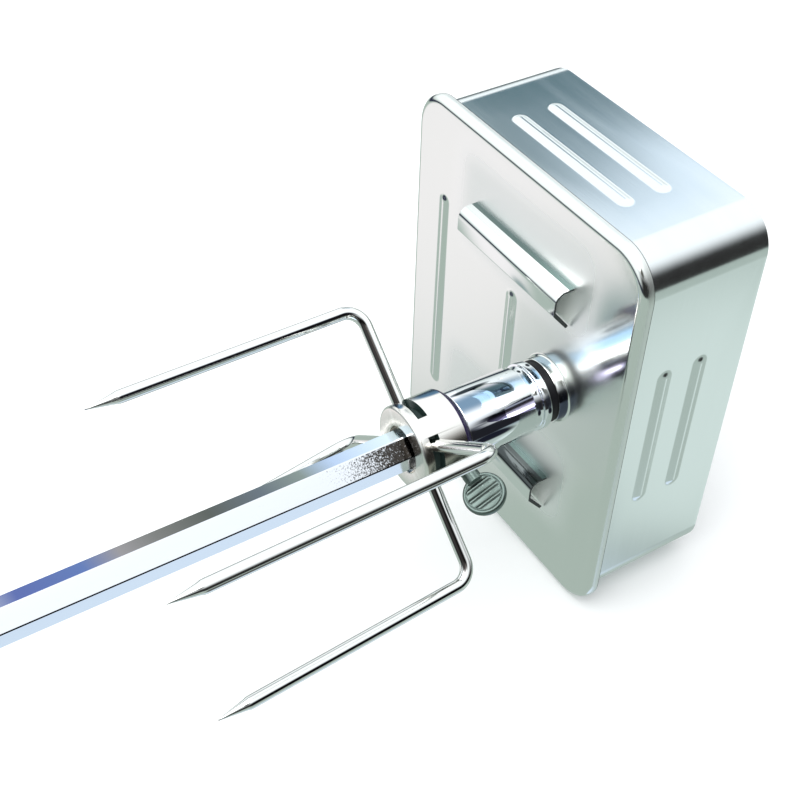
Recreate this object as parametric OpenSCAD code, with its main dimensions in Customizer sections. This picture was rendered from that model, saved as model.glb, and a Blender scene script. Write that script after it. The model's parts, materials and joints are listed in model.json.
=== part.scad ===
// Rotisserie drive unit with its hexagonal spit rod, chromed bushing and four-tine meat fork.
// X runs across the front cover, Y runs into the housing, Z is up.
// The origin is the centre of the front cover's outer face. The spit points along -Y.

/* [Housing] */
// Width of the front cover
cover_w = 128; // [126:1:132]
// Height of the front cover
cover_h = 166; // [164:1:172]
// Depth from the front face to the back panel's outer face
housing_d = 55; // [55:1:60]
// Depth of the front cover's turned rim
rim_d = 4.5; // [4:0.1:5]
// Corner radius of the front cover
cover_r = 15.5; // [15:0.5:18]
// Radius of the rolled edge round the front face
edge_r = 3; // [2.5:0.1:3.2]
// Step from the cover's rim in to the body shell
body_inset = 2.9; // [2.6:0.1:3.2]
// Bend radius of the body shell
body_r = 14.6; // [14:0.1:16]
// Sheet thickness of the cover, the body shell and the back panel
sheet = 0.8; // [0.7:0.05:0.9]

/* [Ribs] */
// Width of an embossed rib
rib_w = 5; // [4:0.5:6]
// Height of an embossed rib
rib_h = 1.2; // [0.8:0.1:1.4]
// Length of the long rib at the left of the front face
long_rib = 91; // [80:1:92]
// Length of the short ribs
short_rib = 62; // [50:1:66]
// Distance of the long rib from the middle of the front face
long_rib_x = 44.5; // [42:0.5:46]
// Depth of the body's first rib behind the front face
rib_y1 = 19.3; // [18:0.1:20]
// Depth of the body's second rib behind the front face
rib_y2 = 34.8; // [33:0.1:36]

/* [Bracket rails] */
// Length of a rail
rail_l = 57; // [52:1:60]
// Left end of the rails, measured from the middle of the front face
rail_x = -25; // [-28:1:-20]
// Height of the upper rail's web above the middle of the front face
rail_z = 54.2; // [52:0.1:56]
// Drop from the upper rail down to the lower rail
rail_drop = 90; // [88:1:92]
// Distance that a rail stands out from the front face
rail_d = 7.5; // [7:0.1:9]
// Sheet thickness of a rail
rail_t = 0.9; // [0.8:0.1:1]
// Thickness of a rail's folded lip
lip_t = 1.3; // [1:0.1:1.6]

/* [Spit] */
// Spit axis, to the right of the middle of the front face
spit_x = 25.6; // [25:0.1:26]
// Spit axis, above the middle of the front face
spit_z = 5; // [4:0.1:6]
// Width across the rod's flats
rod_af = 12.7; // [12.5:0.1:12.7]
// Clear width across the flats of the socket, hub and bushing bores
bore_af = 12.9; // [12.9:0.05:13]
// Turn of the rod's flats about the spit axis
rod_turn = 20.3; // [0:0.1:60]
// Depth that the rod's drive end reaches behind the front face
rod_in = 20; // [16:1:20]
// Length of rod in front of the front face
rod_out = 380; // [300:5:500]
// Outer diameter of the bushing
bushing_d = 25.4; // [25:0.1:26]
// Front end of the bushing, in front of the face
bushing_end = 41.2; // [41:0.1:41.2]
// Outer diameter of the black collar
collar_d = 23; // [22.6:0.1:24]
// Distance that the black collar stands out from the front face
collar_out = 6.9; // [6.5:0.1:6.9]
// Outer diameter of the steel neck round the collar
neck_d = 24.6; // [24.2:0.1:25]
// Distance that the neck stands out from the front face
neck_out = 3.9; // [3:0.1:4.5]

/* [Fork] */
// Outer diameter of the hub
hub_d = 31; // [30:0.5:32]
// Back face of the hub, in front of the front face
hub_back = 41.4; // [41.4:0.1:44]
// Length of the hub
hub_l = 19.8; // [19:0.1:21]
// Diameter of a tine
tine_d = 4.5; // [4:0.1:4.6]
// Bend radius of a tine's centre line
tine_bend = 7; // [6:0.5:8]
// Length of a tine's tapered point
tine_point = 12; // [8:1:15]
// Angle of the thumb screw about the spit axis
screw_turn = -9.7; // [-9.7:0.1:-9.6]
// Diameter of the thumb screw's stem
screw_d = 6; // [5:0.5:6]
// Diameter of the thumb screw's flat head
head_d = 15; // [14:0.5:16]

/* [Drive] */
// Teeth of the output gear
output_teeth = 42; // [42]
// Module of the output gear and its pinion
output_mod = 1.25; // [1.25]
// Teeth of the layshaft gear
lay_teeth = 40; // [40]
// Module of the layshaft gear and the motor pinion
lay_mod = 1; // [1]
// Teeth of both pinions
pinion_teeth = 12; // [12]
// Radial clearance of every running shaft in its bush
running = 0.05; // [0.02:0.01:0.08]

/* [Electrical] */
// Centre of the rocker switch across the back panel
switch_x = 35; // [33:1:38]
// Centre of the rocker switch up the back panel
switch_z = 40; // [40:1:46]
// Tilt of the rocker each side of level
rocker_tilt = 12; // [8:1:14]
// Centre of the cable gland across the back panel
gland_x = 35; // [30:1:40]
// Centre of the cable gland down the back panel
gland_z = -50; // [-56:1:-44]
// Bore of the gland's seal
cable_d = 7; // [6.5:0.5:8]

/* [Hidden] */
$fn = 64;
eps = 0.01;

// body shell, back panel and gear frame
body_w = cover_w - 2 * body_inset;
body_h = cover_h - 2 * body_inset;
panel_y = housing_d - sheet;
post_x = 48;
post_z = 66;
post_r = 4;
cover_posts = [[-post_x, -post_z], [post_x, -post_z], [-post_x, post_z], [post_x, post_z]];
plate_x = [-57, 56];
plate_z = [-25, 35];
plate_t = 2;
rear_plate_y = 24;
stud_r = 2;
stud_posts = [[-52, -20], [51, -20], [-52, 30], [51, 30]];
nut_h = 3.2;

// shaft places, from the spit axis to the left
lay_x = spit_x - (output_teeth + pinion_teeth) * output_mod / 2;
motor_x = lay_x - (lay_teeth + pinion_teeth) * lay_mod / 2;

// bores and shafts
hex_k = 2 / sqrt(3);
sleeve_r = 9;
collar_body_r = 10.8;
journal_r = 6;
lay_r = 2.5;
rotor_shaft_r = 2;
bush_wall = 1.6;
socket_y = -6.5;
socket_end = 20.5;
journal_end = 28.5;

// gear teeth
pressure = 25;
backlash = 0.16;
gear_boss_r = 12;

// rocker switch
switch_w = 13.4;
switch_l = 19.8;
bezel_w = 16.6;
bezel_l = 23;
switch_inner_y = 38;
pivot_y = 52;
pivot_r = 1;
rocker_r = 8.6;
rocker_gap = 0.3;

// bushing's set screw
set_screw_y = -26;
set_screw_turn = -129.7;

// motor stack
stack_y = 31;
stack_t = 14;
stack_w = 44;
stack_top = 18;
stack_low = 47;
limb_w = 9;
yoke_h = 11;
bore_r = 11.9;
rotor_r = 11.5;
motor_screw_x = 18;
motor_screw_z = 13;
motor_hole_r = 1.7;
bracket_y = 48;
bracket_t = 1.5;

// fork: angle about the spit, reach of the leg, outward lean, side lean, length from the bend
tines = [[140, 50.3, 0, 0, 99], [-40.5, 49.3, 3, 0.5, 98], [38.5, 56.2, 0.2, -0.7, 109.5],
    [-140.5, 55.3, -1.4, 6.6, 109]];
tine_y = -55.7;
tine_seat = 9.5;
screw_y = -46;
head_r = 28;

// ---- shared shapes ----

// Turns a shape drawn in plan, with its depth along +Z, so that its depth runs into the housing
module into_housing() {
    rotate([90, 0, 0]) mirror([0, 0, 1]) children();
}

// The same at a point of the front face, starting at depth y
module at_face(x, z, y = 0) {
    translate([x, y, z]) into_housing() children();
}

module rod_between(x, z, r, y0, y1) {
    at_face(x, z, y0) cylinder(r = r, h = y1 - y0);
}

module tube_between(x, z, r_out, r_in, y0, y1) {
    difference() {
        rod_between(x, z, r_out, y0, y1);
        rod_between(x, z, r_in, y0 - 1, y1 + 1);
    }
}

module hex_between(x, z, across_flats, y0, y1, turn = 0) {
    at_face(x, z, y0) rotate([0, 0, turn]) cylinder(d = across_flats * hex_k, h = y1 - y0, $fn = 6);
}

module rounded_rect(w, h, r) {
    square([w - 2 * r, h], center = true);
    square([w, h - 2 * r], center = true);
    for (x = [-1, 1], y = [-1, 1]) translate([x * (w / 2 - r), y * (h / 2 - r)]) circle(r);
}

module rounded_plate(w, h, r, t) {
    linear_extrude(t) rounded_rect(w, h, r);
}

// Profile of a slab, half_w wide each side, whose lower edges are rolled to radius e
module rolled_profile(half_w, e, sides) {
    translate([sides == 2 ? e - half_w : 0, 0]) square([sides == 2 ? 2 * (half_w - e) : half_w - e, e]);
    for (s = sides == 2 ? [-1, 1] : [1]) intersection() {
        translate([s * (half_w - e), e]) circle(e);
        translate([s > 0 ? half_w - e : -half_w, 0]) square(e);
    }
}

// A solid rounded block whose lower edge is rolled to radius e
module rolled_block(w, h, r, e, t) {
    translate([0, 0, e]) rounded_plate(w, h, r, t - e);
    rotate([90, 0, 0]) linear_extrude(h - 2 * r, center = true) rolled_profile(w / 2, e, 2);
    rotate([90, 0, 90]) linear_extrude(w - 2 * r, center = true) rolled_profile(h / 2, e, 2);
    for (i = [0 : 3]) {
        x = (i == 0 || i == 3) ? 1 : -1;
        y = i < 2 ? 1 : -1;
        translate([x * (w / 2 - r), y * (h / 2 - r), 0]) rotate([0, 0, 90 * i])
            rotate_extrude(angle = 90) rolled_profile(r, e, 1);
    }
}

// An embossed rib along Y with round ends, standing on the plane Z = 0
module rib(length) {
    arc_r = (rib_w * rib_w / 4 + rib_h * rib_h) / (2 * rib_h);
    straight = length - rib_w;
    intersection() {
        translate([-rib_w, -length, -sheet / 2]) cube([2 * rib_w, 2 * length, rib_h + sheet]);
        translate([0, 0, rib_h - arc_r]) {
            rotate([90, 0, 0]) cylinder(r = arc_r, h = straight, center = true);
            for (s = [-1, 1]) translate([0, s * straight / 2, 0]) sphere(arc_r);
        }
    }
}

// Involute tooth flank, from the root to the tip, thinned a little for backlash
function inv(a) = tan(a) * 180 / PI - a;
function flank(n, m, r) = let (rb = m * n / 2 * cos(pressure), c = acos(min(1, rb / max(r, rb))))
    90 / n - backlash / (m * n) * 180 / PI + inv(pressure) - inv(c);
function polar(r, a) = [r * cos(a), r * sin(a)];

module gear_outline(teeth, m) {
    root = m * (teeth / 2 - 1.15);
    tip = m * (teeth / 2 + 0.9);
    base = m * teeth / 2 * cos(pressure);
    start = max(root, base);
    steps = [start, start + (tip - start) * 0.35, start + (tip - start) * 0.7, tip];
    polygon([for (i = [0 : teeth - 1]) let (a = i * 360 / teeth)
        each concat([polar(root, a - flank(teeth, m, start))],
            [for (r = steps) polar(r, a - flank(teeth, m, r))],
            [for (k = [3 : -1 : 0]) polar(steps[k], a + flank(teeth, m, steps[k]))],
            [polar(root, a + flank(teeth, m, start))])]);
}

module spur_gear(teeth, m, bore, y0, y1, turn = 0) {
    at_face(0, 0, y0) difference() {
        rotate([0, 0, turn]) linear_extrude(y1 - y0) gear_outline(teeth, m);
        translate([0, 0, -1]) cylinder(r = bore, h = y1 - y0 + 2);
    }
}

// ---- housing ----

module front_cover() {
    color("silver") {
        difference() {
            into_housing() difference() {
                rolled_block(cover_w, cover_h, cover_r, edge_r, rim_d);
                translate([0, 0, sheet]) rolled_block(cover_w - 2 * sheet, cover_h - 2 * sheet,
                    cover_r - sheet, edge_r - sheet, rim_d + 1);
            }
            rod_between(spit_x, spit_z, collar_body_r, -1, 2);
            for (z = [rail_z, rail_z - rail_drop]) translate([rail_x - 0.1, -1, z - rail_t - 0.1])
                cube([rail_l + 0.2, 3, rail_t + 0.2]);
        }
        rotate([90, 0, 0]) {
            translate([-long_rib_x, 0, 0]) rib(long_rib);
            rib(short_rib);
        }
        tube_between(spit_x, spit_z, neck_d / 2, collar_d / 2, -neck_out, sheet / 2);
    }
}

module body_shell() {
    d = panel_y - sheet;
    color("lightsteelblue") {
        at_face(0, 0, sheet) difference() {
            rounded_plate(body_w, body_h, body_r, d);
            translate([0, 0, -1])
                rounded_plate(body_w - 2 * sheet, body_h - 2 * sheet, body_r - sheet, d + 2);
        }
        for (y = [rib_y1, rib_y2]) {
            translate([0, y, body_h / 2]) rotate([0, 0, 90]) rib(short_rib);
            translate([body_w / 2, y, 0]) rotate([90, 0, 90]) rib(short_rib);
        }
    }
}

module back_panel() {
    color("lightgray") difference() {
        at_face(0, 0, panel_y) rounded_plate(body_w, body_h, body_r, sheet);
        for (p = cover_posts) rod_between(p[0], p[1], 2.1, panel_y - 1, housing_d + 1);
        rod_between(gland_x, gland_z, 8.1, panel_y - 1, housing_d + 1);
        translate([switch_x - switch_w / 2 - 0.1, panel_y - 1, switch_z - switch_l / 2 - 0.1])
            cube([switch_w + 0.2, sheet + 2, switch_l + 0.2]);
    }
}

// A hook-shaped rail, with its web at height 0. The web passes through the cover, and its
// foot is spot-welded behind it
module rail() {
    bend = 2.6;
    inner_bend = bend + 0.4;
    foot = 6;
    knee = [-rail_d, -9];
    tip = [-1.3, -16.6];
    inward = lip_t * [0.775, 0.632];
    outline = [[sheet + rail_t, -rail_t], [sheet + rail_t, foot], [sheet, foot], [sheet, 0],
        [-rail_d + bend, 0], [-rail_d, -bend], knee, tip, tip + inward,
        [-rail_d + rail_t, knee[1] + lip_t], [-rail_d + rail_t, -inner_bend],
        [-rail_d + inner_bend, -rail_t]];
    translate([rail_x, 0, 0]) rotate([90, 0, 90]) linear_extrude(rail_l) polygon(outline);
}

module upper_rail() {
    color("gainsboro") translate([0, 0, rail_z]) rail();
}

module lower_rail() {
    color("gainsboro") translate([0, 0, rail_z - rail_drop]) rail();
}

module cover_posts() {
    color("gray") for (p = cover_posts) difference() {
        rod_between(p[0], p[1], post_r, sheet, panel_y);
        rod_between(p[0], p[1], 1.7, panel_y - 12, panel_y + 1);
    }
}

module cover_screws() {
    color("silver") for (p = cover_posts) difference() {
        union() {
            rod_between(p[0], p[1], 1.65, panel_y - 9, housing_d + eps);
            rod_between(p[0], p[1], 3.8, housing_d, housing_d + 2.2);
        }
        hex_between(p[0], p[1], 2.6, housing_d + 0.8, housing_d + 3);
    }
}

// ---- gear frame ----

module gear_plate(y0) {
    w = plate_x[1] - plate_x[0];
    h = plate_z[1] - plate_z[0];
    difference() {
        at_face(plate_x[0] + w / 2, plate_z[0] + h / 2, y0) rounded_plate(w, h, 5, plate_t);
        for (p = stud_posts) rod_between(p[0], p[1], stud_r + 0.1, y0 - 1, y0 + plate_t + 1);
        rod_between(lay_x, spit_z, lay_r + running + bush_wall, y0 - 1, y0 + plate_t + 1);
        children();
    }
}

module front_gear_plate() {
    color("darkgray") gear_plate(sheet) rod_between(spit_x, spit_z, collar_body_r, 0, 4);
}

module rear_gear_plate() {
    color("darkgray") gear_plate(rear_plate_y) {
        rod_between(spit_x, spit_z, journal_r + running + bush_wall, 22, 28);
        rod_between(motor_x, spit_z, rotor_shaft_r + running + bush_wall, 22, 28);
        for (s = [-1, 1])
            rod_between(motor_x + s * motor_screw_x, spit_z + motor_screw_z, 1.5, 22, 28);
    }
}

module frame_studs() {
    color("silver") for (p = stud_posts) rod_between(p[0], p[1], stud_r, sheet, rear_plate_y + 5.6);
}

module frame_spacers() {
    color("silver") for (p = stud_posts)
        tube_between(p[0], p[1], 4, stud_r + 0.15, sheet + plate_t, rear_plate_y);
}

module frame_nuts() {
    y0 = rear_plate_y + plate_t;
    color("silver") for (p = stud_posts) difference() {
        hex_between(p[0], p[1], 7, y0, y0 + nut_h);
        rod_between(p[0], p[1], stud_r, y0 - 1, y0 + nut_h + 1);
    }
}

module flanged_bush(x, z, r, y_flange, y0, y1) {
    tube_between(x, z, r + running + bush_wall, r + running, min(y0, y_flange), y1);
    tube_between(x, z, r + running + bush_wall + 1.2, r + running, y_flange, y_flange + 1.2);
}

module collar_bush() {
    color("dimgray") {
        tube_between(spit_x, spit_z, collar_d / 2, sleeve_r + running, -collar_out, 0);
        tube_between(spit_x, spit_z, collar_body_r, sleeve_r + running, -1, sheet + plate_t + 1);
    }
}

module output_rear_bush() {
    color("peru") flanged_bush(spit_x, spit_z, journal_r, 22.8, 22.8, 26);
}

module layshaft_bushes() {
    color("peru") {
        flanged_bush(lay_x, spit_z, lay_r, 2.8, sheet, 4);
        flanged_bush(lay_x, spit_z, lay_r, 26, rear_plate_y, 27.2);
    }
}

module rotor_bushes() {
    color("peru") {
        flanged_bush(motor_x, spit_z, rotor_shaft_r, 22.8, 22.8, 27);
        flanged_bush(motor_x, spit_z, rotor_shaft_r, 46.8, 46.8, 50.5);
    }
}

// ---- motor ----

module stator_stack() {
    w = stack_w;
    h = stack_top + stack_low;
    color("slategray") difference() {
        translate([motor_x - w / 2, stack_y, spit_z - stack_low]) cube([w, stack_t, h]);
        translate([motor_x - w / 2 + limb_w, stack_y - 1, spit_z - stack_low + yoke_h])
            cube([w - 2 * limb_w, stack_t + 2, 22]);
        rod_between(motor_x, spit_z, bore_r, stack_y - 1, stack_y + stack_t + 1);
        for (s = [-1, 1]) rod_between(motor_x + s * motor_screw_x, spit_z + motor_screw_z, 1.7,
            stack_y - 1, stack_y + stack_t + 1);
    }
}

// The winding round the stack's lower limb, between the bobbin's two end cheeks
module motor_coil() {
    wind = 5;
    len = stack_w - 2 * limb_w - 1;
    y0 = stack_y - 0.2;
    z0 = spit_z - stack_low - 0.2;
    t = stack_t + 0.4;
    h = yoke_h + 0.4;
    color("orangered") difference() {
        union() {
            translate([motor_x - len / 2 + 1, y0 - wind + 0.8, z0 - wind + 0.8])
                cube([len - 2, t + 2 * wind - 1.6, h + 2 * wind - 1.6]);
            for (s = [0, 1]) translate([motor_x - len / 2 + s * (len - 1), y0 - wind, z0 - wind])
                cube([1, t + 2 * wind, h + 2 * wind]);
        }
        translate([motor_x - len, y0, z0]) cube([2 * len, t, h]);
    }
}

module motor_bracket() {
    color("lightgray") difference() {
        union() {
            translate([motor_x - stack_w / 2, bracket_y, spit_z + 7]) cube([stack_w, bracket_t, 11]);
            translate([motor_x - 8, bracket_y, spit_z]) cube([16, bracket_t, 8]);
            rod_between(motor_x, spit_z, 8, bracket_y, bracket_y + bracket_t);
        }
        rod_between(motor_x, spit_z, rotor_shaft_r + running + bush_wall, bracket_y - 1, bracket_y + 3);
        for (s = [-1, 1])
            rod_between(motor_x + s * motor_screw_x, spit_z + motor_screw_z, motor_hole_r,
                bracket_y - 1, bracket_y + 3);
    }
}

module motor_spacers() {
    color("silver") for (s = [-1, 1]) {
        x = motor_x + s * motor_screw_x;
        tube_between(x, spit_z + motor_screw_z, 3.5, 1.7, rear_plate_y + plate_t, stack_y);
        tube_between(x, spit_z + motor_screw_z, 3.5, 1.7, stack_y + stack_t, bracket_y);
    }
}

module motor_screws() {
    y0 = bracket_y + bracket_t;
    color("silver") for (s = [-1, 1]) {
        x = motor_x + s * motor_screw_x;
        difference() {
            union() {
                rod_between(x, spit_z + motor_screw_z, 1.5, rear_plate_y, y0 + eps);
                rod_between(x, spit_z + motor_screw_z, 2.9, y0, y0 + 2);
            }
            translate([x - 3, y0 + 1.2, spit_z + motor_screw_z - 0.4]) cube([6, 1, 0.8]);
        }
    }
}

module rotor_core() {
    color("gray") {
        tube_between(motor_x, spit_z, rotor_r, rotor_shaft_r, stack_y + 0.5, stack_y + stack_t - 0.5);
        tube_between(motor_x, spit_z, rotor_r - 2, rotor_shaft_r, stack_y - 1, stack_y + stack_t + 1);
    }
}

module rotor_shaft() {
    color("silver") rod_between(motor_x, spit_z, rotor_shaft_r, 14.5, 51.5);
}

module motor_pinion() {
    color("goldenrod") translate([motor_x, 0, spit_z])
        spur_gear(pinion_teeth, lay_mod, rotor_shaft_r, 15.5, 21.5, 180 / pinion_teeth);
}

// ---- gear train ----

module layshaft() {
    color("silver") rod_between(lay_x, spit_z, lay_r, 1.2, 27);
}

module layshaft_pinion() {
    color("goldenrod") translate([lay_x, 0, spit_z])
        spur_gear(pinion_teeth, output_mod, lay_r, 5.4, 14.6, 180 / pinion_teeth);
}

module layshaft_gear() {
    color("ivory") {
        translate([lay_x, 0, spit_z]) spur_gear(lay_teeth, lay_mod, lay_r, 16, 21);
        tube_between(lay_x, spit_z, 6, lay_r, 14.6, 22);
    }
}

// The hollow shaft that the rod's end slides into
module output_socket() {
    color("silver") difference() {
        union() {
            rod_between(spit_x, spit_z, sleeve_r, socket_y, 22);
            rod_between(spit_x, spit_z, journal_r, 21, journal_end);
        }
        hex_between(spit_x, spit_z, bore_af, socket_y - 1, socket_end, rod_turn);
        tube_between(spit_x, spit_z, journal_r + 1, journal_r - 0.8, 26.2, 27.2);
    }
}

module output_gear() {
    color("ivory") {
        translate([spit_x, 0, spit_z]) spur_gear(output_teeth, output_mod, sleeve_r, 6, 14);
        tube_between(spit_x, spit_z, gear_boss_r, sleeve_r, 4.4, 18);
    }
}

module retaining_ring() {
    color("gray") difference() {
        tube_between(spit_x, spit_z, 8.4, journal_r - 0.8, 26.3, 27.1);
        translate([spit_x - 1.5, 25, spit_z - 12]) cube([3, 4, 12]);
    }
}

// ---- rocker switch ----

module switch_housing() {
    z0 = switch_z - switch_l / 2;
    color("dimgray") difference() {
        union() {
            translate([switch_x - bezel_w / 2, housing_d, switch_z - bezel_l / 2])
                cube([bezel_w, 2, bezel_l]);
            translate([switch_x - switch_w / 2, switch_inner_y, z0])
                cube([switch_w, housing_d - switch_inner_y + eps, switch_l]);
        }
        translate([switch_x - 5.7, 41, switch_z - rocker_r - rocker_gap])
            cube([11.4, 17, 2 * (rocker_r + rocker_gap)]);
        translate([switch_x, pivot_y, switch_z]) rotate([0, 90, 0])
            cylinder(r = pivot_r, h = 12.6, center = true);
        for (i = [-1, 0, 1]) translate([switch_x - 2.5, 37, switch_z + 6 * i - 0.5]) cube([5, 5, 1]);
    }
}

module switch_terminals() {
    color("goldenrod") for (i = [-1, 0, 1]) difference() {
        translate([switch_x - 2.4, 30.5, switch_z + 6 * i - 0.4]) cube([4.8, 10.5, 0.8]);
        translate([switch_x, 33, switch_z + 6 * i]) cylinder(r = 0.9, h = 3, center = true);
    }
}

module rocker_pin() {
    color("silver") translate([switch_x, pivot_y, switch_z])
        rotate([0, 90, 0]) cylinder(r = pivot_r, h = 12.6, center = true);
}

// Drawn level, then tilted so that its lower half is pressed in
module rocker() {
    face = [[-9, 5], [0, 3.4], [9, 5], [9, -2], [3, -4.5], [-3, -4.5], [-9, -2]];
    color("black") translate([switch_x, pivot_y, switch_z]) rotate([-rocker_tilt, 0, 0])
        rotate([0, 90, 0]) difference() {
            intersection() {
                rotate([0, 0, 180]) linear_extrude(11, center = true)
                    polygon([for (p = face) [p[0], -p[1]]]);
                cylinder(r = rocker_r, h = 12, center = true);
            }
            cylinder(r = pivot_r + running, h = 13, center = true);
        }
}

// ---- cable gland ----

module gland_body() {
    color("dimgray") difference() {
        union() {
            rod_between(gland_x, gland_z, 8, panel_y - 8, housing_d + 1);
            hex_between(gland_x, gland_z, 19, housing_d, housing_d + 5);
            rod_between(gland_x, gland_z, 7, housing_d + 4, housing_d + 12);
        }
        rod_between(gland_x, gland_z, 4.6, panel_y - 9, housing_d + 4);
        rod_between(gland_x, gland_z, 5.6, housing_d + 3.9, housing_d + 13);
    }
}

module gland_lock_nut() {
    color("dimgray") difference() {
        hex_between(gland_x, gland_z, 22, panel_y - 5, panel_y);
        rod_between(gland_x, gland_z, 8, panel_y - 6, panel_y + 1);
    }
}

module gland_seal() {
    color("black") tube_between(gland_x, gland_z, 5.6, cable_d / 2, housing_d + 4.5, housing_d + 12.5);
}

module gland_cap() {
    color("dimgray") difference() {
        union() {
            hex_between(gland_x, gland_z, 18, housing_d + 5.4, housing_d + 12);
            rod_between(gland_x, gland_z, 8.4, housing_d + 11, housing_d + 15);
            rod_between(gland_x, gland_z, 6.6, housing_d + 14, housing_d + 18);
        }
        rod_between(gland_x, gland_z, 7, housing_d + 5, housing_d + 13);
        rod_between(gland_x, gland_z, 4.2, housing_d + 12, housing_d + 19);
    }
}

// ---- spit ----

module spit_rod() {
    point = 22;
    chamfer = 1;
    r = rod_af * hex_k / 2;
    color("silver") intersection() {
        hex_between(spit_x, spit_z, rod_af, -rod_out, rod_in, rod_turn);
        union() {
            at_face(spit_x, spit_z, -rod_out) cylinder(r1 = 0.6, r2 = r + 0.2, h = point);
            rod_between(spit_x, spit_z, r + 0.2, point - rod_out, rod_in - chamfer);
            at_face(spit_x, spit_z, rod_in - chamfer) cylinder(r1 = r + 0.2, r2 = r - 1, h = chamfer);
        }
    }
}

// Chromed sleeve with a groove near its inner end and a shallow flute running into the groove
module spit_bushing() {
    r = bushing_d / 2;
    back = -collar_out - 0.2;
    flute_turn = 39;
    flute_r = 3.2;
    flute_l = 19.5;
    edge = 0.6;
    color("lightgray") difference() {
        union() {
            at_face(spit_x, spit_z, -bushing_end) cylinder(r1 = r - edge, r2 = r, h = edge);
            rod_between(spit_x, spit_z, r, edge - bushing_end, -14);
            rod_between(spit_x, spit_z, r - 1.1, -15, -10);
            rod_between(spit_x, spit_z, r, -10.4, back - edge);
            at_face(spit_x, spit_z, back - edge) cylinder(r1 = r, r2 = r - edge, h = edge);
        }
        hex_between(spit_x, spit_z, bore_af, -bushing_end - 1, back + 1, rod_turn);
        translate([spit_x, -14, spit_z]) rotate([0, -flute_turn, 0])
            translate([r + flute_r - 1.6, 1, 0]) rotate([0, 0, -4.7]) rotate([90, 0, 0])
                cylinder(r = flute_r, h = flute_l + 6);
        translate([spit_x, set_screw_y, spit_z]) rotate([0, -set_screw_turn, 0]) rotate([0, 90, 0])
            cylinder(r = 2.5, h = 20);
    }
}

module bushing_set_screw() {
    color("dimgray") translate([spit_x, set_screw_y, spit_z])
        rotate([0, -set_screw_turn, 0]) rotate([0, 90, 0])
        difference() {
            translate([0, 0, rod_af / 2]) cylinder(r = 2.5, h = 5);
            translate([0, 0, rod_af / 2 + 3]) cylinder(d = 2.5 * hex_k, h = 3, $fn = 6);
        }
}

// ---- fork ----

module fork_hub() {
    r = hub_d / 2;
    front = -hub_back - hub_l;
    chamfer_l = 2.1;
    round_r = 1.3;
    slot = 3.8;
    color("lightgray") difference() {
        union() {
            rod_between(spit_x, spit_z, r, front + round_r, -hub_back - chamfer_l);
            at_face(spit_x, spit_z, -hub_back - chamfer_l)
                cylinder(r1 = r, r2 = r - 1.9, h = chamfer_l);
            rod_between(spit_x, spit_z, r - round_r, front, front + 5);
            at_face(spit_x, spit_z, front + round_r)
                rotate_extrude() translate([r - round_r, 0]) circle(round_r);
        }
        hex_between(spit_x, spit_z, bore_af, front - 1, 1 - hub_back, rod_turn);
        rod_between(spit_x, spit_z, 8.5, front - 1, front + 3);
        for (t = tines) translate([spit_x, tine_y, spit_z]) rotate([0, -t[0], 0]) {
            translate([tine_seat, 0, 0]) rotate([0, 90, 0]) cylinder(d = tine_d, h = r);
        }
        for (t = tines) translate([spit_x, tine_y, spit_z]) rotate([90, 0, 0])
            rotate([0, 0, t[0] - 40]) translate([0, 0, -slot / 2]) rotate_extrude(angle = 40)
                translate([r - 3.2, 0]) square([5, slot]);
        translate([spit_x, screw_y, spit_z]) rotate([0, -screw_turn, 0]) rotate([0, 90, 0])
            cylinder(r = screw_d / 2 + running, h = r + 1);
    }
}

// A tine: a leg out of the hub, one bend, and a pointed shaft along -Y
module tine(i) {
    t = tines[i - 1];
    lean = t[2];
    turn = 90 - lean;
    tangent = tine_bend * tan(turn / 2);
    shaft = t[4] - tangent;
    cx = t[1] - tangent;
    lap = 0.2;
    swell = 0.02;
    color("whitesmoke") translate([spit_x, tine_y, spit_z]) rotate([0, -t[0], 0]) rotate([-t[3], 0, 0]) {
        translate([tine_seat, 0, 0]) rotate([0, 90, 0]) cylinder(d = tine_d, h = cx - tine_seat + lap);
        translate([cx, -tine_bend, 0]) rotate([0, 0, lean]) {
            rotate_extrude(angle = turn) translate([tine_bend, 0]) circle(d = tine_d + swell);
            translate([tine_bend, lap, 0]) rotate([90, 0, 0]) {
                cylinder(d = tine_d, h = shaft - tine_point);
                translate([0, 0, shaft - tine_point]) cylinder(d1 = tine_d, d2 = 0.5, h = tine_point);
            }
        }
    }
}

module tine_1() { tine(1); }
module tine_2() { tine(2); }
module tine_3() { tine(3); }
module tine_4() { tine(4); }

// Spade-headed screw whose tip presses on a flat of the rod
module thumb_screw() {
    head_t = 3;
    head_turn = 28;
    tip = rod_af / 2 + 0.05;
    ridge = 0.9;
    color("darkgray") translate([spit_x, screw_y, spit_z]) rotate([0, -screw_turn, 0])
        rotate([head_turn, 0, 0]) {
            rotate([0, 90, 0]) translate([0, 0, tip]) cylinder(d = screw_d, h = head_r - tip - 4);
            translate([head_r, 0, 0]) cylinder(d = head_d, h = head_t, center = true);
            for (x = [-4.5 : 3 : 4.5], s = [-1, 1]) translate([head_r + x, 0, s * head_t / 2])
                rotate([90, 0, 0]) cylinder(r = ridge / 2, h = head_d - 6, center = true);
        }
}

front_cover();
body_shell();
back_panel();
upper_rail();
lower_rail();
cover_posts();
cover_screws();
front_gear_plate();
rear_gear_plate();
frame_studs();
frame_spacers();
frame_nuts();
collar_bush();
output_rear_bush();
layshaft_bushes();
rotor_bushes();
stator_stack();
motor_coil();
motor_bracket();
motor_spacers();
motor_screws();
switch_housing();
switch_terminals();
rocker_pin();
gland_body();
gland_lock_nut();
gland_seal();
gland_cap();
output_socket();
output_gear();
retaining_ring();
layshaft();
layshaft_pinion();
layshaft_gear();
rotor_core();
rotor_shaft();
motor_pinion();
rocker();
spit_rod();
spit_bushing();
bushing_set_screw();
fork_hub();
tine_1();
tine_2();
tine_3();
tine_4();
thumb_screw();
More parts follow.
